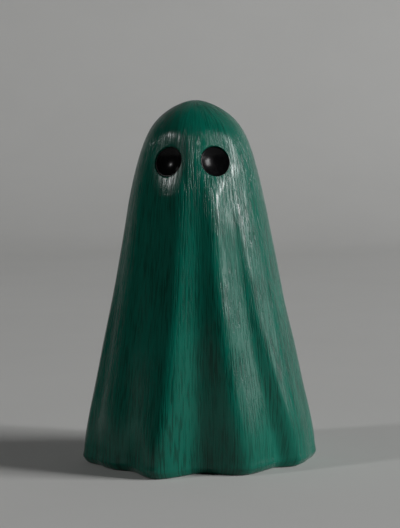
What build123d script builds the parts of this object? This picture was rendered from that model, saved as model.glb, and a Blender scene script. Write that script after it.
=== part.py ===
"""A glazed ceramic ghost: a hollow draped shell, open underneath, with two black glass eyes cemented
into sockets pressed in its face. Millimetres and degrees, floor at Z = 0, face towards -Y."""

import os
from math import cos, radians, sin

from build123d import *

# Outline of the drape: from the axis to the crest of the widest fold, down from the top or up from the floor
HEIGHT = 126.0
CROWN_RADIUS = 13.3
CROWN_DROP = 6.5
BROW_RADIUS = 19.8
BROW_DROP = 19.0
WAIST_RADIUS = 26.5
WAIST_DROP = 50.0
SKIRT_RADIUS = 36.6
SKIRT_HEIGHT = 28.0
HEM_RADIUS = 41.0
HEM_ROUND = 2.6
HEM_SWEEP = 75.0
OUTLINE_PULL = 0.8
WALL = 5.5
FOOT_BEVEL = 1.0

# Folds, as marks round the drape at crests, valleys and the shoulders between them: the way each faces at
# the hem, turned from the face towards the ghost's left, how much further it is turned where the folds
# start, and how far it falls short of the outline at the chest and at the hem
FOLD_ANGLES = (
    -80.0, -66.0, -53.0, -44.0, -19.0, 6.0, 33.0, 65.0, 73.0, 85.0, 97.0, 127.5, 158.0, 188.5, 219.0, 249.5,
)
FOLD_SWAYS = (0.0, 0.0, 0.0, 0.0, 10.0, 0.0, -16.0, -25.0, -25.0, -16.0, 0.0, 0.0, 0.0, 0.0, 0.0, 0.0)
CHEST_DEPTHS = (0.0, 0.3, 0.4, 1.2, 0.0, 0.8, 0.0, 2.0, 2.0, 0.9, 0.0, 1.5, 0.0, 1.0, 0.0, 1.0)
HEM_DEPTHS = (0.0, 4.2, 5.6, 8.6, 2.5, 14.25, 7.0, 8.2, 5.0, 3.2, 0.0, 9.5, 2.0, 10.75, 2.5, 9.75)

# Distances down the drape: where the folds first show, where they have their chest depth and where they
# start to grow towards the hem
FOLD_TOP = 14.0
FOLD_CHEST = 52.0
FOLD_START = 30.0
FOLD_GROWTH = 1.6

# Eyes: flat-backed glass cups, hollow in front, so far down the drape from the crown and so far round
# from the face
EYE_DIAMETER = 10.0
EYE_GIRDLE = 2.0
EYE_HOLLOW = 1.5
EYE_LAND = 0.25
EYE_BACK_BEVEL = 0.3
EYE_DROP = 30.8
EYE_SPREAD = 25.0

# Sockets: a soft dish pressed in the drape, with a straight pocket in it for the eye and its cement
SOCKET_CLEARANCE = 0.25
SOCKET_DEPTH = 4.0
SOCKET_ROUND = 0.4
DISH_RADIUS = 12.0
DISH_DEPTH = 1.2
CEMENT_BED = 0.3
CEMENT_LIP = 1.6

# Cross-sections drawn down the flank and round the hem
FLANK_STATIONS = 20
ROLL_STATIONS = 3
OVERCUT = 2.0

CROWN_HEIGHT = HEIGHT - CROWN_DROP
BROW_HEIGHT = HEIGHT - BROW_DROP
WAIST_HEIGHT = HEIGHT - WAIST_DROP
EYE_RADIUS = EYE_DIAMETER / 2
SOCKET_RADIUS = EYE_RADIUS + SOCKET_CLEARANCE
INNER_RADIUS = HEM_RADIUS - WALL
ROLL_HEIGHT = HEM_ROUND * sin(radians(HEM_SWEEP))

# The flank runs level at the crown and plumb at the hem
with BuildLine(Plane.XZ) as outline:
    flank = Spline(
        (0, HEIGHT),
        (CROWN_RADIUS, CROWN_HEIGHT),
        (BROW_RADIUS, BROW_HEIGHT),
        (WAIST_RADIUS, WAIST_HEIGHT),
        (SKIRT_RADIUS, SKIRT_HEIGHT),
        (HEM_RADIUS, ROLL_HEIGHT),
        tangents=[(1, 0), (0, -1)],
        tangent_scalars=[OUTLINE_PULL, OUTLINE_PULL],
    )


def flank_plane(distance):
    """The section plane that far down the flank from the crown: X runs down it and Y out of the drape."""
    share = distance / flank.length
    return Plane(origin=flank @ share, x_dir=flank % share, z_dir=(0, -1, 0))


def flank_stops(inset):
    """Radius, height and distance down the drape of each station of the flank, that far inside it."""
    stops = []
    for station in range(1, FLANK_STATIONS + 1):
        distance = flank.length * (1 - cos(radians(180 * station / FLANK_STATIONS))) / 2
        spot = flank_plane(distance).from_local_coords((0, -inset, 0))
        stops.append((spot.X, spot.Z, distance))
    return stops


def roll_stops():
    """The same where the hem rolls under to the floor."""
    stops = []
    for station in range(1, ROLL_STATIONS + 1):
        turn = radians(HEM_SWEEP * station / ROLL_STATIONS)
        radius = HEM_RADIUS - HEM_ROUND * (1 - cos(turn))
        stops.append((radius, ROLL_HEIGHT - HEM_ROUND * sin(turn), flank.length))
    return stops


def rings(stops):
    """The cross-section of the drape at each stop, through every mark of the folds."""
    sections = []
    for radius, height, distance in stops:
        shown = min(1.0, max(0.0, distance - FOLD_TOP) / (FOLD_CHEST - FOLD_TOP))
        shown = shown**2 * (3 - 2 * shown)
        grown = max(0.0, distance - FOLD_START) / (flank.length - FOLD_START)
        points = []
        for angle, sway, shallow, deep in zip(FOLD_ANGLES, FOLD_SWAYS, CHEST_DEPTHS, HEM_DEPTHS):
            turn = radians(angle + sway * (1 - grown**2))
            reach = radius - shallow * shown - (deep - shallow) * grown**FOLD_GROWTH
            points.append((reach * sin(turn), -reach * cos(turn)))
        start = Vector(-points[0][1], points[0][0]).normalized()
        with BuildSketch(Plane.XY.offset(height)) as ring:
            with BuildLine():
                Spline(*points, points[0], tangents=[start, start], tangent_scalars=[1, 1])
            make_face()
        sections.append(ring.sketch)
    return sections


def socket_plane(turn):
    """The section plane of an eye, turned from the face: origin on the socket floor, Y out of the drape."""
    floor = flank_plane(EYE_DROP).location * Pos(0, -SOCKET_DEPTH, 0)
    return Plane(Rot(0, 0, turn - 90) * floor)


def axis_of(plane):
    """The line an eye and its socket are turned about."""
    return Axis(plane.origin, plane.y_dir)


def press_section(plane):
    """Half the section of the tool that presses a socket and the dish round it."""
    with BuildSketch(plane) as section:
        with BuildLine():
            dish = TangentArc((0, SOCKET_DEPTH - DISH_DEPTH), (DISH_RADIUS, SOCKET_DEPTH), tangent=(1, 0))
            Polyline(dish @ 1, (DISH_RADIUS, SOCKET_DEPTH + OVERCUT), (0, SOCKET_DEPTH + OVERCUT), dish @ 0)
        make_face()
        Rectangle(SOCKET_RADIUS, SOCKET_DEPTH, align=Align.MIN)
        rim = section.vertices().sort_by_distance((SOCKET_RADIUS, SOCKET_DEPTH))[0]
        fillet(rim, SOCKET_ROUND)
    return section.sketch


def eye_section(plane):
    """Half the section of an eye, standing on its cement."""
    with BuildSketch(plane) as section:
        with BuildLine():
            rim = CEMENT_BED + EYE_GIRDLE
            hollow = TangentArc((0, rim - EYE_HOLLOW), (EYE_RADIUS - EYE_LAND, rim), tangent=(1, 0))
            Polyline(hollow @ 1, (EYE_RADIUS, rim), *EYE_BACK, hollow @ 0)
        make_face()
    return section.sketch


def cement_section(plane):
    """Half the section of the cement: a bed under the eye and a lip squeezed up round its edge."""
    with BuildSketch(plane) as section:
        with BuildLine():
            lip = CEMENT_BED + CEMENT_LIP
            floor = ((0, 0), (SOCKET_RADIUS, 0), (SOCKET_RADIUS, lip), (EYE_RADIUS, lip))
            Polyline(*floor, *EYE_BACK, (0, 0))
        make_face()
    return section.sketch


# Back of an eye in its section, from the girdle to the axis
EYE_BACK = (
    (EYE_RADIUS, CEMENT_BED + EYE_BACK_BEVEL),
    (EYE_RADIUS - EYE_BACK_BEVEL, CEMENT_BED),
    (0, CEMENT_BED),
)

LEFT_SOCKET = socket_plane(EYE_SPREAD)
RIGHT_SOCKET = socket_plane(-EYE_SPREAD)

# Glazed shell: the drape down to the rolled hem, hollowed from below, its foot bevelled inside
with BuildPart() as body:
    loft(sections=[Vertex(0, 0, HEIGHT), *rings(flank_stops(0) + roll_stops())])
    hollow = rings(flank_stops(WALL) + [(INNER_RADIUS, -OVERCUT, flank.length)])
    loft(sections=[Vertex(0, 0, HEIGHT - WALL), *hollow], mode=Mode.SUBTRACT)
    bevel_top = (INNER_RADIUS - OVERCUT, FOOT_BEVEL + OVERCUT, flank.length)
    bevel_bottom = (INNER_RADIUS + FOOT_BEVEL + OVERCUT, -OVERCUT, flank.length)
    loft(sections=rings([bevel_top, bevel_bottom]), ruled=True, mode=Mode.SUBTRACT)
    for socket in (LEFT_SOCKET, RIGHT_SOCKET):
        revolve(press_section(socket), axis=axis_of(socket), mode=Mode.SUBTRACT)

with BuildPart() as left_eye:
    revolve(eye_section(LEFT_SOCKET), axis=axis_of(LEFT_SOCKET))

with BuildPart() as right_eye:
    revolve(eye_section(RIGHT_SOCKET), axis=axis_of(RIGHT_SOCKET))

with BuildPart() as left_eye_cement:
    revolve(cement_section(LEFT_SOCKET), axis=axis_of(LEFT_SOCKET))

with BuildPart() as right_eye_cement:
    revolve(cement_section(RIGHT_SOCKET), axis=axis_of(RIGHT_SOCKET))

os.makedirs("parts", exist_ok=True)

body.part.label = "body"
export_step(body.part, "parts/body.step")
left_eye.part.label = "left_eye"
export_step(left_eye.part, "parts/left_eye.step")
right_eye.part.label = "right_eye"
export_step(right_eye.part, "parts/right_eye.step")
left_eye_cement.part.label = "left_eye_cement"
export_step(left_eye_cement.part, "parts/left_eye_cement.step")
right_eye_cement.part.label = "right_eye_cement"
export_step(right_eye_cement.part, "parts/right_eye_cement.step")
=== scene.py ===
# %% [markdown]
# This lesson dresses a small ceramic ghost. The CAD model gives its pieces, their places and their sizes.
# Here each piece gets the surface that the real one has: a combed clay drape under a green glaze, two
# polished black glass eyes and the dark cement that holds them in their sockets.

from math import cos, pi, radians, sin

import bpy
import numpy as np
from mathutils import Matrix, Quaternion, Vector, noise
from mathutils.kdtree import KDTree


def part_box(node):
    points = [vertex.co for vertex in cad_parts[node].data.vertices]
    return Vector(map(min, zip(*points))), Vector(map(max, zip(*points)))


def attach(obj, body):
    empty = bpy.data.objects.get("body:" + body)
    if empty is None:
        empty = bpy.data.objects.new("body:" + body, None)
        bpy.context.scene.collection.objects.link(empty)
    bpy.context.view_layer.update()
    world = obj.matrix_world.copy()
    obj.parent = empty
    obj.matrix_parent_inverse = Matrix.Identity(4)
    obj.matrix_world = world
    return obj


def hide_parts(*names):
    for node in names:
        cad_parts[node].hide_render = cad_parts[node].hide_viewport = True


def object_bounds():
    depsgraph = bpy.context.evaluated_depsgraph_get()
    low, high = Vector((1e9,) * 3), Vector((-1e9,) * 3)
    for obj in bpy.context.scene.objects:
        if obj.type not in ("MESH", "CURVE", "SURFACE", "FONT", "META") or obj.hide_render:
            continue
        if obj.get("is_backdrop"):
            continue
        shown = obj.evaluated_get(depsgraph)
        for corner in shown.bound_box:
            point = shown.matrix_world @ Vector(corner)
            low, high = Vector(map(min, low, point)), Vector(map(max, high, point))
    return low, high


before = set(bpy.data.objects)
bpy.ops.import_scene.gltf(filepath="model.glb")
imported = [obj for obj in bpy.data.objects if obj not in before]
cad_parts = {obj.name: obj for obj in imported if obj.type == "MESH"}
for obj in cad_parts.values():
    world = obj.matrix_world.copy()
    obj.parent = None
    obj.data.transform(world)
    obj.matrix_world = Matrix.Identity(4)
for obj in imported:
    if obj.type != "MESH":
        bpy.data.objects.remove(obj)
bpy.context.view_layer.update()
MM = 0.001

print("CAD pieces:", sorted(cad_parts))

# %% [markdown]
# The drape is a bell that hangs in folds, as a sheet would. Its outline is one smooth line from the crown
# to the hem, drawn through a few points. A curve object could hold that line, but rows of the mesh have to
# sit at exact distances along it, so a short function works out the smoothest line through the points.

# %% Sizes of the drape, in millimetres
OUTLINE = [(0.0, 126.0), (13.3, 119.5), (19.8, 107.0), (26.5, 76.0), (36.6, 28.0), (41.0, 2.51)]
OUTLINE_PULL = 0.8
HEM_ROUND = 2.6
HEM_SWEEP = 75.0
WALL = 5.5
FOOT_BEVEL = 1.0
FLANK_STEPS = 400


def smooth_line(points, first, last, steps):
    """Points along the smoothest cubic line through the given ones, with its slopes at both ends."""
    points = np.array(points, float)
    gaps = np.linalg.norm(np.diff(points, axis=0), axis=1)
    balance = np.eye(len(points))
    slopes = np.zeros_like(points)
    slopes[0], slopes[-1] = first, last
    for i in range(1, len(points) - 1):
        before, after = gaps[i - 1], gaps[i]
        balance[i, i - 1:i + 2] = after, 2 * (before + after), before
        rise, fall = points[i] - points[i - 1], points[i + 1] - points[i]
        slopes[i] = 3 * (after / before * rise + before / after * fall)
    slopes = np.linalg.solve(balance, slopes)
    share = np.linspace(0, 1, steps, endpoint=False)[:, None]
    runs = []
    for i, gap in enumerate(gaps):
        bend_out = share * (1 - share) ** 2 * gap * slopes[i]
        bend_in = share**2 * (share - 1) * gap * slopes[i + 1]
        blend = share**2 * (3 - 2 * share)
        runs.append((1 - blend) * points[i] + blend * points[i + 1] + bend_out + bend_in)
    return np.vstack(runs + [points[-1:]])


flank = smooth_line(OUTLINE, (OUTLINE_PULL, 0), (0, -OUTLINE_PULL), FLANK_STEPS)
flank_down = np.append(0, np.cumsum(np.linalg.norm(np.diff(flank, axis=0), axis=1)))
flank_ahead = np.gradient(flank, flank_down, axis=0)


def on_flank(down, inset=0.0):
    """Radius and height of points that far down the flank, so far inside it."""
    spot = [np.interp(down, flank_down, flank[:, axis]) for axis in (0, 1)]
    ahead = [np.interp(down, flank_down, flank_ahead[:, axis]) for axis in (0, 1)]
    steep = np.hypot(*ahead)
    return spot[0] + inset * ahead[1] / steep, spot[1] - inset * ahead[0] / steep


print("Flank from crown to hem:", round(flank_down[-1], 1), "mm")

# %% [markdown]
# A potter throws a bell on the wheel. Here the section of its wall is drawn first, as a chain of points from
# the crown down the outside, round the hem, across the foot and up the inside. Each point becomes a row of
# the mesh. The rows lie closer together on the face, where the eye sockets need them, and at the hem.

# %% Rows of the wall's section
FACE_FROM, FACE_TO = 18.0, 46.0
HEM_BAND = 5.0
CROWN_ROWS, FACE_ROWS, SKIRT_ROWS, HEM_ROWS = 14, 46, 60, 14
ROLL_ROWS, INSIDE_ROWS = 12, 22
# The hem stands out by a little, which fades away above and below it
HEM_RIDGE = 0.35
RIDGE_ABOVE, RIDGE_BELOW = 1.6, 0.7
hem_down = flank_down[-1]
hem_radius = OUTLINE[-1][0]
roll_height = OUTLINE[-1][1]
inner_radius = hem_radius - WALL

outside_down = np.concatenate([
    np.linspace(0, FACE_FROM, CROWN_ROWS, endpoint=False),
    np.linspace(FACE_FROM, FACE_TO, FACE_ROWS, endpoint=False),
    np.linspace(FACE_TO, hem_down - HEM_BAND, SKIRT_ROWS, endpoint=False),
    np.linspace(hem_down - HEM_BAND, hem_down, HEM_ROWS),
])
inside_down = hem_down * (1 + np.cos(np.linspace(0, pi, INSIDE_ROWS))) / 2
roll_turn = np.radians(np.linspace(0, HEM_SWEEP, ROLL_ROWS + 1)[1:])

outside_rows = np.column_stack(on_flank(outside_down))
roll_rows = np.column_stack([
    hem_radius - HEM_ROUND * (1 - np.cos(roll_turn)),
    roll_height - HEM_ROUND * np.sin(roll_turn),
])
outside_rows[:, 0] += HEM_RIDGE * np.exp(-((hem_down - outside_down) / RIDGE_ABOVE) ** 2)
roll_rows[:, 0] += HEM_RIDGE * np.exp(-((HEM_ROUND * roll_turn) / RIDGE_BELOW) ** 2)
foot_rows = np.array([(inner_radius + FOOT_BEVEL, 0.0), (inner_radius, FOOT_BEVEL)])
inside_rows = np.column_stack(on_flank(inside_down, WALL))
inside_rows[-1, 0] = 0.0

section = np.vstack([outside_rows, roll_rows, foot_rows, inside_rows])
foot_start = len(outside_rows) + len(roll_rows)
below_flank = np.full(len(roll_rows) + len(foot_rows), hem_down)
section_down = np.concatenate([outside_down, below_flank, inside_down])

print(len(section), "rows, of which", foot_start, "are on the outside")

# %% [markdown]
# The section is then turned once about the upright axis. The Spin tool would do that, but slowly for so many
# columns, so a Screw modifier with no rise is the wheel.

# %% Throw the bell
COLUMNS = 540
WELD = MM / 1000


def draw_chain(name, points):
    """A new mesh object: one vertex extruded from point to point, in metres."""
    bpy.ops.object.select_all(action="DESELECT")
    bpy.ops.mesh.primitive_plane_add(size=MM)
    chain = bpy.context.object
    chain.name = chain.data.name = name
    bpy.ops.object.mode_set(mode="EDIT")
    bpy.ops.mesh.merge(type="CENTER")
    bpy.ops.transform.translate(value=points[0])
    for start, end in zip(points, points[1:]):
        bpy.ops.mesh.extrude_region_move(TRANSFORM_OT_translate={"value": Vector(end) - Vector(start)})
    bpy.ops.object.mode_set(mode="OBJECT")
    return chain


def turn_chain(chain, steps):
    """Turns the chain once about its own Z axis into a closed skin that faces outwards."""
    wheel = chain.modifiers.new("wheel", "SCREW")
    wheel.steps = wheel.render_steps = steps
    wheel.use_merge_vertices = True
    wheel.merge_threshold = WELD
    bpy.ops.object.modifier_apply(modifier=wheel.name)
    bpy.ops.object.mode_set(mode="EDIT")
    bpy.ops.mesh.select_all(action="SELECT")
    bpy.ops.mesh.remove_doubles(threshold=WELD)
    bpy.ops.mesh.normals_make_consistent(inside=False)
    bpy.ops.object.mode_set(mode="OBJECT")


def places(piece):
    """The places of a piece's vertices, in millimetres."""
    flat = np.empty(3 * len(piece.data.vertices))
    piece.data.vertices.foreach_get("co", flat)
    return flat.reshape(-1, 3) / MM


def move_to(piece, spots):
    """Moves a piece's vertices to new places, in millimetres."""
    piece.data.vertices.foreach_set("co", np.ravel(spots) * MM)
    piece.data.update()


drape = draw_chain("glazed_drape", [(radius * MM, 0, height * MM) for radius, height in section])
turn_chain(drape, COLUMNS)
print("Thrown bell:", len(drape.data.vertices), "vertices,", len(drape.data.polygons), "faces")

# %% [markdown]
# The bell is then fluted. Every row is pushed in between the crests of its folds, a little below the eyes
# and deeper towards the hem. The crests aren't evenly spaced, the valleys aren't equally deep and some of
# them turn as they run down, because a hanging sheet never folds evenly. An array of ridges would repeat, so
# each row's ring is worked out from marks at the crests, shoulders and valleys. Between them the sheet is
# nearly flat, so that the crests are softly pointed, and each row is the mean of three, turned a little
# either way, because clay and glaze round off every edge.

# %% Flute the folds
# A crest or shoulder and the valley after it, in turn: angle from the face at the hem, how much further it
# is turned above, and how far it falls short of the outline at the chest and at the hem
FOLDS = [
    (-80.0, 0.0, 0.0, 0.0), (-66.0, 0.0, 0.3, 4.2),
    (-53.0, 0.0, 0.4, 5.6), (-44.0, 0.0, 0.7, 8.6),
    (-19.0, 10.0, 0.0, 2.5), (6.0, 0.0, 0.5, 14.25),
    (33.0, -16.0, 0.0, 7.0), (61.5, -25.0, 1.7, 9.0),
    (69.5, -25.0, 1.7, 3.6), (84.0, -16.0, 0.8, 2.2),
    (97.0, 0.0, 0.0, 0.0), (127.5, 0.0, 1.5, 9.5),
    (158.0, 0.0, 0.0, 2.0), (188.5, 0.0, 1.0, 10.75),
    (219.0, 0.0, 0.0, 2.5), (249.5, 0.0, 1.0, 9.75),
]
BROW, CHEST = 14.0, 52.0
FOLD_START = 30.0
FOLD_GROWTH = 1.6
CREST_POINT = 1.5
SOFT_TURNS = (-2.5, 0.0, 2.5)


def fold_depth(down, angles):
    """How far a row falls short of the outline at each angle from the face, in degrees."""
    turns, sways, chest_depths, hem_depths = np.array(FOLDS + FOLDS[:1]).T
    turns[-1] += 360
    chest = np.clip((down - BROW) / (CHEST - BROW), 0, 1)
    grown = max(0.0, down - FOLD_START) / (hem_down - FOLD_START)
    marks = turns + sways * (1 - grown**2)
    depths = chest**2 * (3 - 2 * chest) * chest_depths + grown**FOLD_GROWTH * (hem_depths - chest_depths)
    angles = (angles - marks[0]) % 360 + marks[0]
    mark = np.clip(np.searchsorted(marks, angles, side="right") - 1, 0, len(FOLDS) - 1)
    share = (angles - marks[mark]) / (marks[mark + 1] - marks[mark])
    rising = mark % 2 == 0
    from_crest = np.sin(np.where(rising, share, 1 - share) * pi / 2) ** CREST_POINT
    crest = np.where(rising, depths[mark], depths[mark + 1])
    valley = np.where(rising, depths[mark + 1], depths[mark])
    return crest + (valley - crest) * from_crest


spot = places(drape)
row_tree = KDTree(len(section))
for number, (radius, height) in enumerate(section):
    row_tree.insert((radius, height, 0), number)
row_tree.balance()
row = np.array([row_tree.find((np.hypot(x, y), z, 0))[1] for x, y, z in spot])
angle = np.arctan2(spot[:, 0], -spot[:, 1])
for number, radius in enumerate(section[:, 0]):
    here = row == number
    if radius > 0:
        turned = [fold_depth(section_down[number], np.degrees(angle[here]) + turn) for turn in SOFT_TURNS]
        reach = radius - np.mean(turned, axis=0)
        spot[here, 0] = reach * np.sin(angle[here])
        spot[here, 1] = -reach * np.cos(angle[here])
move_to(drape, spot)
print("Fluted drape in mm:", np.ptp(spot, axis=0).round(1))

# %% [markdown]
# The eyes sit in soft dishes pressed in the face with a round tool. Each has its own small frame: its
# origin is on the floor of the socket, and its Z axis points straight out of the clay. In that frame the
# dish is a shallow bowl, and the clay is lowered to whichever is lower, the drape or the bowl, with the
# edge between them rounded as a thumb would leave it.

# %% Press the dishes
EYE_DROP = 30.8
EYE_SPREAD = 25.0
SOCKET_DEPTH = 4.0
DISH_RADIUS = 12.0
DISH_DEPTH = 1.2
DISH_SOFTNESS = 1.5
SIDES = {"left": 1, "right": -1}


def eye_frame(side):
    """The frame of one eye: origin on its socket's floor, Z out of the drape, in millimetres."""
    ahead = [np.interp(EYE_DROP, flank_down, flank_ahead[:, axis]) for axis in (0, 1)]
    turn = radians(side * EYE_SPREAD)
    radial = Vector((sin(turn), -cos(turn), 0))
    down = (radial * ahead[0] + Vector((0, 0, ahead[1]))).normalized()
    out = (Vector((0, 0, ahead[0])) - radial * ahead[1]).normalized()
    radius, height = on_flank(EYE_DROP, SOCKET_DEPTH)
    place = radial * radius + Vector((0, 0, height))
    turned = Matrix((out.cross(down), -down, out)).transposed().to_4x4()
    return Matrix.Translation(place) @ turned


def seen_from(place, spots):
    """The same spots in an eye's frame."""
    back = np.array(place.inverted())
    return spots @ back[:3, :3].T + back[:3, 3]


on_outside = row < foot_start
pressed = np.zeros(len(spot))
for side in SIDES.values():
    place = eye_frame(side)
    local = seen_from(place, spot)
    away = np.hypot(local[:, 0], local[:, 1])
    bowl = SOCKET_DEPTH - DISH_DEPTH * (1 - (away / DISH_RADIUS) ** 2)
    near = on_outside & (away < DISH_RADIUS) & (local[:, 2] > 0)
    # A soft minimum: the two are blended where they come close
    overlap = np.clip(DISH_SOFTNESS - np.abs(local[:, 2] - bowl), 0, None) / DISH_SOFTNESS
    lowered = np.minimum(local[:, 2], bowl) - overlap**2 * DISH_SOFTNESS / 4
    sunk = np.where(near, local[:, 2] - lowered, 0)
    pressed = np.maximum(pressed, np.clip(sunk / DISH_SOFTNESS, 0, 1))
    spot -= sunk[:, None] * np.array(place.col[2][:3])
move_to(drape, spot)
print("Vertices pressed in by the eye tool:", int((pressed > 0).sum()))

# %% [markdown]
# While the clay was soft, a stiff brush was drawn down the drape from crown to hem. Its bristles left fine
# broken strokes that run together at the crown. The broad ones are cut into the mesh, each vertex moved
# along its normal by noise stretched down the drape, and the finer ones are left to the glaze. A slower
# wave under them keeps the surface from looking turned on a lathe.

# %% Comb the clay
COMB_RADIUS = 24.0
STROKE_WIDTH = 1.5
STROKE_LENGTH = 13.0
STROKE_DEPTH = 0.05
WAVE_WIDTH = 17.0
WAVE_DEPTH = 0.22
BARE_CROWN = 5.0
NOISE_FALL, NOISE_STEP, NOISE_LAYERS = 0.7, 2.1, 3


def comb_places(spots):
    """Where each spot lies in the combing: round a drum of one size, and down from the crown."""
    turn = np.arctan2(spots[:, 0], -spots[:, 1])
    down = np.interp(-spots[:, 2], -flank[:, 1], flank_down)
    return np.column_stack([COMB_RADIUS * np.cos(turn), COMB_RADIUS * np.sin(turn), down])


def strokes(combed, width, length):
    """Noise from -1 to 1 that is stretched down the drape."""
    spread = combed / (width, width, length)
    return np.array([noise.fractal(Vector(c), NOISE_FALL, NOISE_STEP, NOISE_LAYERS) for c in spread])


def waves(spots, width):
    """Slow noise from -1 to 1."""
    return np.array([noise.noise(Vector(s)) for s in spots / width])


normals = np.empty(3 * len(spot))
drape.data.vertices.foreach_get("normal", normals)
normals = normals.reshape(-1, 3)
combed = comb_places(spot)
fade = np.clip(combed[:, 2] / BARE_CROWN, 0, 1) * np.clip(spot[:, 2] / (2 * roll_height), 0, 1)
cut = STROKE_DEPTH * strokes(combed, STROKE_WIDTH, STROKE_LENGTH) * (1 - pressed)
cut += WAVE_DEPTH * waves(spot, WAVE_WIDTH) * (1 - pressed)
spot += (on_outside * fade * cut)[:, None] * normals
move_to(drape, spot)
print("Deepest stroke and highest ridge in mm:", (fade * cut).min().round(2), (fade * cut).max().round(2))

# %% [markdown]
# The pockets that hold the eyes are cut straight into the dishes. Each is a turned cutter, with a flare that
# leaves a rounded lip, taken away from the drape with a Boolean modifier. The cutter has to be closed, so
# its chain starts and ends on the axis. Before that, the inside of the shell and its foot are given a second
# material slot, since glaze is wiped off there so that it can't stick in the kiln.

# %% Cut the pockets
EYE_RADIUS = 5.0
SOCKET_CLEARANCE = 0.25
LIP_ROUND = 0.5
LIP_SWEEP = 65.0
LIP_POINTS = 6
FLARE_RUN = 1.0
CUTTER_RISE = 3.0
TURN_STEPS = 96
DRAPE_CREASE = 40.0
socket_radius = EYE_RADIUS + SOCKET_CLEARANCE


def turned_piece(name, side_points, place, steps):
    """A piece turned from a half section in an eye's frame, set in its place."""
    piece = draw_chain(name, [(x * MM, 0, z * MM) for x, z in side_points])
    turn_chain(piece, steps)
    spots = places(piece)
    forward = np.array(place)
    move_to(piece, spots @ forward[:3, :3].T + forward[:3, 3])
    return piece


def cutter_section():
    """Half the section of the pocket cutter: straight sides and a flared lip."""
    rim = SOCKET_DEPTH - DISH_DEPTH * (1 - (socket_radius / DISH_RADIUS) ** 2)
    points = [(0, 0), (socket_radius, 0)]
    for turn in np.radians(np.linspace(0, LIP_SWEEP, LIP_POINTS)):
        points.append((socket_radius + LIP_ROUND * (1 - cos(turn)), rim - LIP_ROUND * (1 - sin(turn))))
    top_radius, top = points[-1]
    flare = radians(LIP_SWEEP)
    points.append((top_radius + FLARE_RUN * sin(flare), top + FLARE_RUN * cos(flare)))
    points += [(points[-1][0], SOCKET_DEPTH + CUTTER_RISE), (0, SOCKET_DEPTH + CUTTER_RISE)]
    return points


face_rows = np.array([row[list(face.vertices)].min() for face in drape.data.polygons])
drape.data.materials.append(bpy.data.materials.new("emerald_glaze"))
drape.data.materials.append(bpy.data.materials.new("bare_clay"))
drape.data.polygons.foreach_set("material_index", (face_rows >= foot_start - 1).astype(np.int32))

for side_name, side in SIDES.items():
    cutter = turned_piece(side_name + "_cutter", cutter_section(), eye_frame(side), TURN_STEPS)
    bpy.ops.object.select_all(action="DESELECT")
    bpy.context.view_layer.objects.active = drape
    drape.select_set(True)
    pocket = drape.modifiers.new(side_name + "_pocket", "BOOLEAN")
    pocket.operation = "DIFFERENCE"
    pocket.solver = "EXACT"
    pocket.object = cutter
    bpy.ops.object.modifier_apply(modifier=pocket.name)
    bpy.data.objects.remove(cutter)

bpy.ops.object.shade_smooth_by_angle(angle=radians(DRAPE_CREASE))
comb = drape.data.attributes.new("comb", "FLOAT_VECTOR", "POINT")
comb.data.foreach_set("vector", comb_places(places(drape)).ravel())
drape.data.calc_loop_triangles()
print("Drape with pockets:", len(drape.data.loop_triangles), "triangles")

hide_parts("body")
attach(drape, "root")

# %% [markdown]
# An eye is a flat-backed cup of black glass, hollow in front. It is turned as the cutter was: a polished
# bowl, a narrow land that the light catches, a straight edge and a bevelled back that stands on the cement.
# A sphere cut away from a disc would give the bowl, but its rim would be left as sharp as a knife.

# %% Turn the eyes
CEMENT_BED = 0.3
EYE_GIRDLE = 2.0
EYE_HOLLOW = 1.5
EYE_LAND = 0.25
EYE_BACK_BEVEL = 0.3
RIM_ROUND = 0.06
BOWL_POINTS = 24
EYE_CREASE = 35.0


def eye_section():
    """Half the section of an eye, from the middle of its bowl to the middle of its back."""
    rim = CEMENT_BED + EYE_GIRDLE
    reach = EYE_RADIUS - EYE_LAND
    ball = (reach**2 + EYE_HOLLOW**2) / (2 * EYE_HOLLOW)
    points = []
    for turn in np.linspace(0, np.arcsin(reach / ball), BOWL_POINTS):
        points.append((ball * sin(turn), rim - EYE_HOLLOW + ball * (1 - cos(turn))))
    points[-1] = (reach - RIM_ROUND, rim - RIM_ROUND)
    points += [(reach + RIM_ROUND, rim), (EYE_RADIUS - RIM_ROUND, rim), (EYE_RADIUS, rim - RIM_ROUND)]
    points += [(EYE_RADIUS, CEMENT_BED + EYE_BACK_BEVEL), (EYE_RADIUS - EYE_BACK_BEVEL, CEMENT_BED)]
    points.append((0, CEMENT_BED))
    return points


eyes = {}
for side_name, side in SIDES.items():
    eye = turned_piece(side_name + "_glass_eye", eye_section(), eye_frame(side), TURN_STEPS)
    bpy.ops.object.shade_smooth_by_angle(angle=radians(EYE_CREASE))
    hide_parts(side_name + "_eye")
    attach(eye, "root")
    eyes[side_name] = eye
    low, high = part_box(side_name + "_eye")
    drift = (places(eye).min(axis=0) + places(eye).max(axis=0)) / 2 - np.array(low + high) / 2 / MM
    print(eye.name, "is off its CAD place by", np.abs(drift).max().round(3), "mm")

# %% [markdown]
# The cement is what was squeezed out when each eye was pushed home: a thin bed under the glass and an
# uneven lip round its edge. It is turned too, and then the lip is made lumpy by lifting its vertices with
# noise, because a perfect ring of glue would look machined.

# %% Turn the cement
CEMENT_LIP = 1.6
LIP_LUMP = 0.25
LIP_LUMP_WIDTH = 2.2
LIP_CHAMFER = 0.1
SEAM = 0.01
CEMENT_CREASE = 50.0


def cement_section():
    """Half the section of the cement cup, from the middle of its bed round its lip."""
    lip = CEMENT_BED + CEMENT_LIP
    outer, inner = socket_radius - SEAM, EYE_RADIUS + SEAM
    middle = (outer + inner) / 2
    return [
        (0, SEAM),
        (outer, SEAM),
        (outer, lip - LIP_CHAMFER),
        (middle, lip),
        (inner, lip - LIP_CHAMFER),
        (inner, CEMENT_BED + EYE_BACK_BEVEL - SEAM),
        (EYE_RADIUS - EYE_BACK_BEVEL, CEMENT_BED - SEAM),
        (0, CEMENT_BED - SEAM),
    ]


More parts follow.
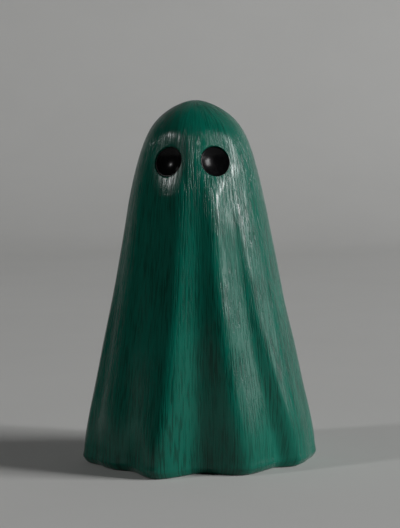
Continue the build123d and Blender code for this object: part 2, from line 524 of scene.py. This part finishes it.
cements = {}
for side_name, side in SIDES.items():
    place = eye_frame(side)
    cement = turned_piece(side_name + "_eye_bedding", cement_section(), place, TURN_STEPS)
    spots = places(cement)
    lift = LIP_LUMP * waves(spots, LIP_LUMP_WIDTH) * (seen_from(place, spots)[:, 2] > CEMENT_LIP)
    move_to(cement, spots + lift[:, None] * np.array(place.col[2][:3]))
    bpy.ops.object.shade_smooth_by_angle(angle=radians(CEMENT_CREASE))
    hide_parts(side_name + "_eye_cement")
    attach(cement, "root")
    cements[side_name] = cement
    print(cement.name, "has", len(cement.data.polygons), "faces")

# %% [markdown]
# Finishes are built from shader nodes. Wiring them one by one hides the idea, so a small class wraps a
# node's output: plain arithmetic on it adds Math nodes, and one method adds any other node.


# %% A socket that does arithmetic
class Wire:
    """An output of a material's nodes. Arithmetic with numbers and other wires adds Math nodes."""

    def __init__(self, socket):
        self.socket = socket

    def node(self, kind, settings, sockets, output=0):
        """A new node of the same material, its settings made first, then its sockets set or linked."""
        tree = self.socket.id_data
        made = tree.nodes.new(kind)
        for name, value in settings.items():
            setattr(made, name, value)
        for key, value in sockets.items():
            if isinstance(value, Wire):
                tree.links.new(value.socket, made.inputs[key])
            else:
                made.inputs[key].default_value = value
        return Wire(made.outputs[output])

    def math(self, operation, *values):
        """A Math node fed with these values."""
        return self.node("ShaderNodeMath", {"operation": operation}, dict(enumerate(values)))

    def __add__(self, other):
        return self.math("ADD", self, other)

    def __mul__(self, other):
        return self.math("MULTIPLY", self, other)

    __radd__ = __add__
    __rmul__ = __mul__

    def between(self, low, high):
        """This value's place from low to high, eased, from 0 to 1."""
        settings = {"interpolation_type": "SMOOTHSTEP"}
        return self.node("ShaderNodeMapRange", settings, {0: self, 1: low, 2: high, 3: 0.0, 4: 1.0})

    def tint(self, low, high):
        """A colour mixed from low to high by this value."""
        sockets = {0: self, 6: as_colour(low), 7: as_colour(high)}
        return self.node("ShaderNodeMix", {"data_type": "RGBA"}, sockets, 2)

    def stretched(self, scale):
        """This vector with its three parts scaled."""
        return self.node("ShaderNodeVectorMath", {"operation": "MULTIPLY"}, {0: self, 1: scale})

    def clouds(self, scale, detail, rough=0.5):
        """Noise from 0 to 1 at this vector."""
        sockets = {"Vector": self, "Scale": scale, "Detail": detail, "Roughness": rough}
        return self.node("ShaderNodeTexNoise", {}, sockets)

    def bump(self, distance):
        """A normal raised by this value, so far in metres."""
        sockets = {"Strength": 1.0, "Distance": distance, "Height": self}
        return self.node("ShaderNodeBump", {}, sockets)


def as_colour(value):
    """A wire as it is, or three numbers as a colour."""
    return value if isinstance(value, Wire) else (*value, 1.0)


def new_finish(name):
    """The material of that name, made if need be, and the shader that its finish goes into."""
    material = bpy.data.materials.get(name) or bpy.data.materials.new(name)
    material.use_nodes = True
    return material, material.node_tree.nodes["Principled BSDF"]


def finish_with(shader, **wires):
    """Links wires to the shader's sockets by name, with spaces for underscores."""
    for name, wire in wires.items():
        shader.id_data.links.new(wire.socket, shader.inputs[name.replace("_", " ")])


def piece_places(shader):
    """The Object coordinates of the piece, in metres."""
    return Wire(shader.id_data.nodes.new("ShaderNodeTexCoord").outputs["Object"])


# %% [markdown]
# The glaze is a clear green glass. It runs off the ridges of the combing, where the paler clay shines
# through, and pools in the grooves, where it turns dark. Its noise is read at the comb attribute, so every
# stroke follows the drape round to its crown. The same strokes lift the bump and break up the gloss, and a
# slow mottle keeps one side from matching another.

# %% Emerald glaze
GLAZE_DEEP = (0.0005, 0.068, 0.045)
GLAZE_BODY = (0.0010, 0.130, 0.087)
GLAZE_THIN = (0.0017, 0.160, 0.108)
GLAZE_THINNED = 0.6
FINE_WIDTH, FINE_LENGTH, FINE_SHARE = 0.34, 9.0, 0.85
BROAD_WIDTH, BROAD_LENGTH, BROAD_SHARE = 1.2, 14.0, 0.15
GLAZE_ROUGH, GLAZE_ROUGHER = 0.17, 0.06
GLAZE_RELIEF = 0.05 * MM
GLAZE_SHINE = 0.35

glaze, shader = new_finish("emerald_glaze")
combed = Wire(shader.id_data.nodes.new("ShaderNodeAttribute").outputs["Vector"])
combed.socket.node.attribute_name = "comb"
fine = combed.stretched((1 / FINE_WIDTH, 1 / FINE_WIDTH, 1 / FINE_LENGTH))
fine = fine.clouds(scale=1.0, detail=2.0, rough=0.55)
broad = combed.stretched((1 / BROAD_WIDTH, 1 / BROAD_WIDTH, 1 / BROAD_LENGTH))
broad = broad.clouds(scale=1.0, detail=2.0)
mottle = piece_places(shader).clouds(scale=45.0, detail=3.0)
ridge = (fine * FINE_SHARE + broad * BROAD_SHARE).between(low=0.38, high=0.54)
colour = ridge.tint(GLAZE_DEEP, GLAZE_BODY)
colour = (mottle.between(low=0.45, high=0.75) * GLAZE_THINNED).tint(colour, GLAZE_THIN)
gloss = GLAZE_ROUGH + GLAZE_ROUGHER * fine
finish_with(shader, Base_Color=colour, Roughness=gloss, Normal=ridge.bump(GLAZE_RELIEF))
shader.inputs["Specular IOR Level"].default_value = GLAZE_SHINE
print(glaze.name, "has", len(glaze.node_tree.nodes), "nodes")

# %% [markdown]
# Under the glaze the clay is a buff stoneware. It shows on the foot and inside, where it is dry, slightly
# gritty and flecked with iron.

# %% Bare clay
CLAY = (0.50, 0.40, 0.30)
CLAY_PALE = (0.62, 0.53, 0.42)
IRON = (0.16, 0.08, 0.04)
CLAY_ROUGH, CLAY_ROUGHER = 0.8, 0.15
GRIT_RELIEF = 0.1 * MM

clay, shader = new_finish("bare_clay")
grit = piece_places(shader).clouds(scale=900.0, detail=3.0, rough=0.6)
cloud = piece_places(shader).clouds(scale=70.0, detail=3.0)
flecks = piece_places(shader).clouds(scale=420.0, detail=1.0).between(low=0.66, high=0.72)
colour = cloud.tint(CLAY, CLAY_PALE)
colour = flecks.tint(colour, IRON)
gloss = CLAY_ROUGH + CLAY_ROUGHER * grit
finish_with(shader, Base_Color=colour, Roughness=gloss, Normal=grit.bump(GRIT_RELIEF))
print(clay.name, "has", len(clay.node_tree.nodes), "nodes")

# %% [markdown]
# The eyes are black glass, polished, with the faint smears that handling leaves. The smears dull the polish
# and lift the black a little, so that they show mostly where a highlight crosses them.

# %% Black glass
GLASS = (0.0035, 0.0035, 0.004)
GLASS_WORN = (0.008, 0.0075, 0.008)
SMEAR_STRETCH = (1.0, 1.0, 0.4)
GLASS_ROUGH, GLASS_ROUGHER = 0.16, 0.14
GLASS_SHINE = 0.15

glass, shader = new_finish("black_glass")
smear = piece_places(shader).stretched(SMEAR_STRETCH).clouds(scale=380.0, detail=3.0, rough=0.6)
colour = smear.between(low=0.5, high=0.8).tint(GLASS, GLASS_WORN)
finish_with(shader, Base_Color=colour, Roughness=GLASS_ROUGH + GLASS_ROUGHER * smear)
shader.inputs["Specular IOR Level"].default_value = GLASS_SHINE
for eye in eyes.values():
    eye.data.materials.append(glass)
print(glass.name, "has", len(glass.node_tree.nodes), "nodes")

# %% [markdown]
# The cement is a dark adhesive, dull and a little dusty where it was wiped. Only a hairline of it shows
# between an eye and its socket.

# %% Dark cement
CEMENT = (0.010, 0.011, 0.011)
CEMENT_DUSTY = (0.035, 0.037, 0.035)
CEMENT_ROUGH, CEMENT_ROUGHER = 0.6, 0.3
CEMENT_RELIEF = 0.08 * MM

cement_finish, shader = new_finish("dark_cement")
lumps = piece_places(shader).clouds(scale=1500.0, detail=3.0, rough=0.6)
colour = lumps.between(low=0.45, high=0.8).tint(CEMENT, CEMENT_DUSTY)
gloss = CEMENT_ROUGH + CEMENT_ROUGHER * lumps
finish_with(shader, Base_Color=colour, Roughness=gloss, Normal=lumps.bump(CEMENT_RELIEF))
for cement in cements.values():
    cement.data.materials.append(cement_finish)
print(cement_finish.name, "has", len(cement_finish.node_tree.nodes), "nodes")

# %% [markdown]
# The ghost stands on a pale sweep: a floor that curves up behind it into a backdrop, so that no horizon
# crosses the head. It is a plane with its far edge extruded upwards and the fold between them bevelled.
# A pale floor throws light back under the folds and washes them out, so its colour is pale only to the rays
# that look at it or are mirrored in the glaze, and darker to the light that it throws back.

# %% Floor and backdrop
FLOOR = (0.70, 0.70, 0.685)
FLOOR_WORN = (0.65, 0.65, 0.635)
FLOOR_BOUNCE = (0.36, 0.36, 0.35)
SEEING_RAYS = ("Camera", "Glossy", "Transmission")
FLOOR_ROUGH, FLOOR_ROUGHER = 0.6, 0.2
FLOOR_SHINE = 0.0
FLOOR_SIZE = 3.0
SWEEP_RISE = 1.6
SWEEP_ROUND = 0.6
SWEEP_SEGMENTS = 24

bpy.ops.object.select_all(action="DESELECT")
bpy.ops.mesh.primitive_plane_add(size=FLOOR_SIZE)
floor = bpy.context.object
floor.name = floor.data.name = "pale_sweep"
bpy.ops.object.mode_set(mode="EDIT")
bpy.ops.mesh.select_all(action="DESELECT")
bpy.ops.object.mode_set(mode="OBJECT")
for edge in floor.data.edges:
    ends = [floor.data.vertices[i].co for i in edge.vertices]
    edge.select = all(end.y > 0 for end in ends)
bpy.ops.object.mode_set(mode="EDIT")
bpy.ops.mesh.select_mode(type="EDGE")
bpy.ops.mesh.extrude_region_move(TRANSFORM_OT_translate={"value": (0, 0, SWEEP_RISE)})
bpy.ops.object.mode_set(mode="OBJECT")
for edge in floor.data.edges:
    ends = [floor.data.vertices[i].co for i in edge.vertices]
    edge.select = all(end.y > 0 and end.z < SWEEP_RISE / 2 for end in ends)
bpy.ops.object.mode_set(mode="EDIT")
bpy.ops.mesh.bevel(offset=SWEEP_ROUND, segments=SWEEP_SEGMENTS)
bpy.ops.object.mode_set(mode="OBJECT")
bpy.ops.object.shade_smooth()

floor_finish, shader = new_finish("pale_floor")
scuff = piece_places(shader).clouds(scale=9.0, detail=5.0, rough=0.6)
rays = [scuff.node("ShaderNodeLightPath", {}, {}, "Is %s Ray" % kind) for kind in SEEING_RAYS]
colour = (rays[0] + rays[1] + rays[2]).tint(FLOOR_BOUNCE, scuff.tint(FLOOR, FLOOR_WORN))
finish_with(shader, Base_Color=colour, Roughness=FLOOR_ROUGH + FLOOR_ROUGHER * scuff)
shader.inputs["Specular IOR Level"].default_value = FLOOR_SHINE
floor.data.materials.append(floor_finish)
floor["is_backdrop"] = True
print("Sweep:", len(floor.data.polygons), "faces")

# %% [markdown]
# A large soft box at the right of the picture gives most of the light. A gloss shows a lamp only where it
# mirrors it, so three more are placed for their reflections: a small one nearer the face for the shine round
# the left eye, a small one at the other side for the right brow, and a low, dim one for the sheen along the
# folds.
# The rest of the room is dim, so that the left of the picture falls away into dark green. All the lamps
# stand well past the floor's edge, so that they light it evenly and don't burn it white from any side.

# %% Lights and room
ROOM = (0.02, 0.02, 0.021)
SUBJECT = Vector((0, 0, 0.07))
LAMP_AWAY = 4.0


def direction(azimuth, elevation):
    """The way to something round the ghost from its face and above the floor, in degrees."""
    turn, rise = radians(azimuth), radians(elevation)
    return Vector((sin(turn) * cos(rise), -cos(turn) * cos(rise), sin(rise)))


def soft_box(name, azimuth, elevation, width, height, watts):
    """An area lamp that faces the ghost."""
    bpy.ops.object.light_add(type="AREA", location=SUBJECT + direction(azimuth, elevation) * LAMP_AWAY)
    lamp = bpy.context.object
    lamp.name = lamp.data.name = name
    lamp.rotation_euler = direction(azimuth, elevation).to_track_quat("Z", "Y").to_euler()
    lamp.data.shape = "RECTANGLE"
    lamp.data.size = width
    lamp.data.size_y = height
    lamp.data.energy = watts


soft_box("side_box", azimuth=81, elevation=23, width=1.48, height=1.48, watts=106.5)
soft_box("eye_box", azimuth=72, elevation=15, width=0.43, height=0.55, watts=30.8)
soft_box("brow_box", azimuth=-62, elevation=32, width=0.29, height=0.40, watts=19.9)
soft_box("low_box", azimuth=98, elevation=4, width=1.80, height=0.49, watts=8.0)
bpy.context.scene.world = bpy.data.worlds.new("dim_room")
bpy.context.scene.world.use_nodes = True
bpy.context.scene.world.node_tree.nodes["Background"].inputs["Color"].default_value = (*ROOM, 1.0)

# %% [markdown]
# The camera stands a little to the ghost's left and about as high as its crown, as in the photograph, and
# looks slightly down through a long lens from 600 mm away. It is rolled by a little over half a degree,
# since the ghost leans that much in the frame.

# %% Camera
IMAGE_WIDTH = 400
FOCAL_PIXELS = 1719
CAMERA_AWAY = 0.600
CAMERA_AZIMUTH, CAMERA_ELEVATION = 5, 5
CAMERA_ROLL = -0.65
AIM = Vector((0.0009, 0, 0.069))

camera_way = direction(CAMERA_AZIMUTH, CAMERA_ELEVATION)
bpy.ops.object.camera_add(location=AIM + camera_way * CAMERA_AWAY)
camera = bpy.context.object
roll = Quaternion((0, 0, 1), radians(CAMERA_ROLL))
camera.rotation_euler = (camera_way.to_track_quat("Z", "Y") @ roll).to_euler()
camera.data.sensor_fit = "HORIZONTAL"
camera.data.lens = FOCAL_PIXELS / IMAGE_WIDTH * camera.data.sensor_width
bpy.context.scene.camera = camera
bpy.context.scene.view_settings.view_transform = "Standard"
print("Lens:", round(camera.data.lens, 1), "mm")

# %% [markdown]
# Last, the box of the finished pieces is printed, in millimetres.

# %% Print the box of the finished pieces
low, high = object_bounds()
print("Visual box in mm:", [round(side / MM, 1) for side in high - low])
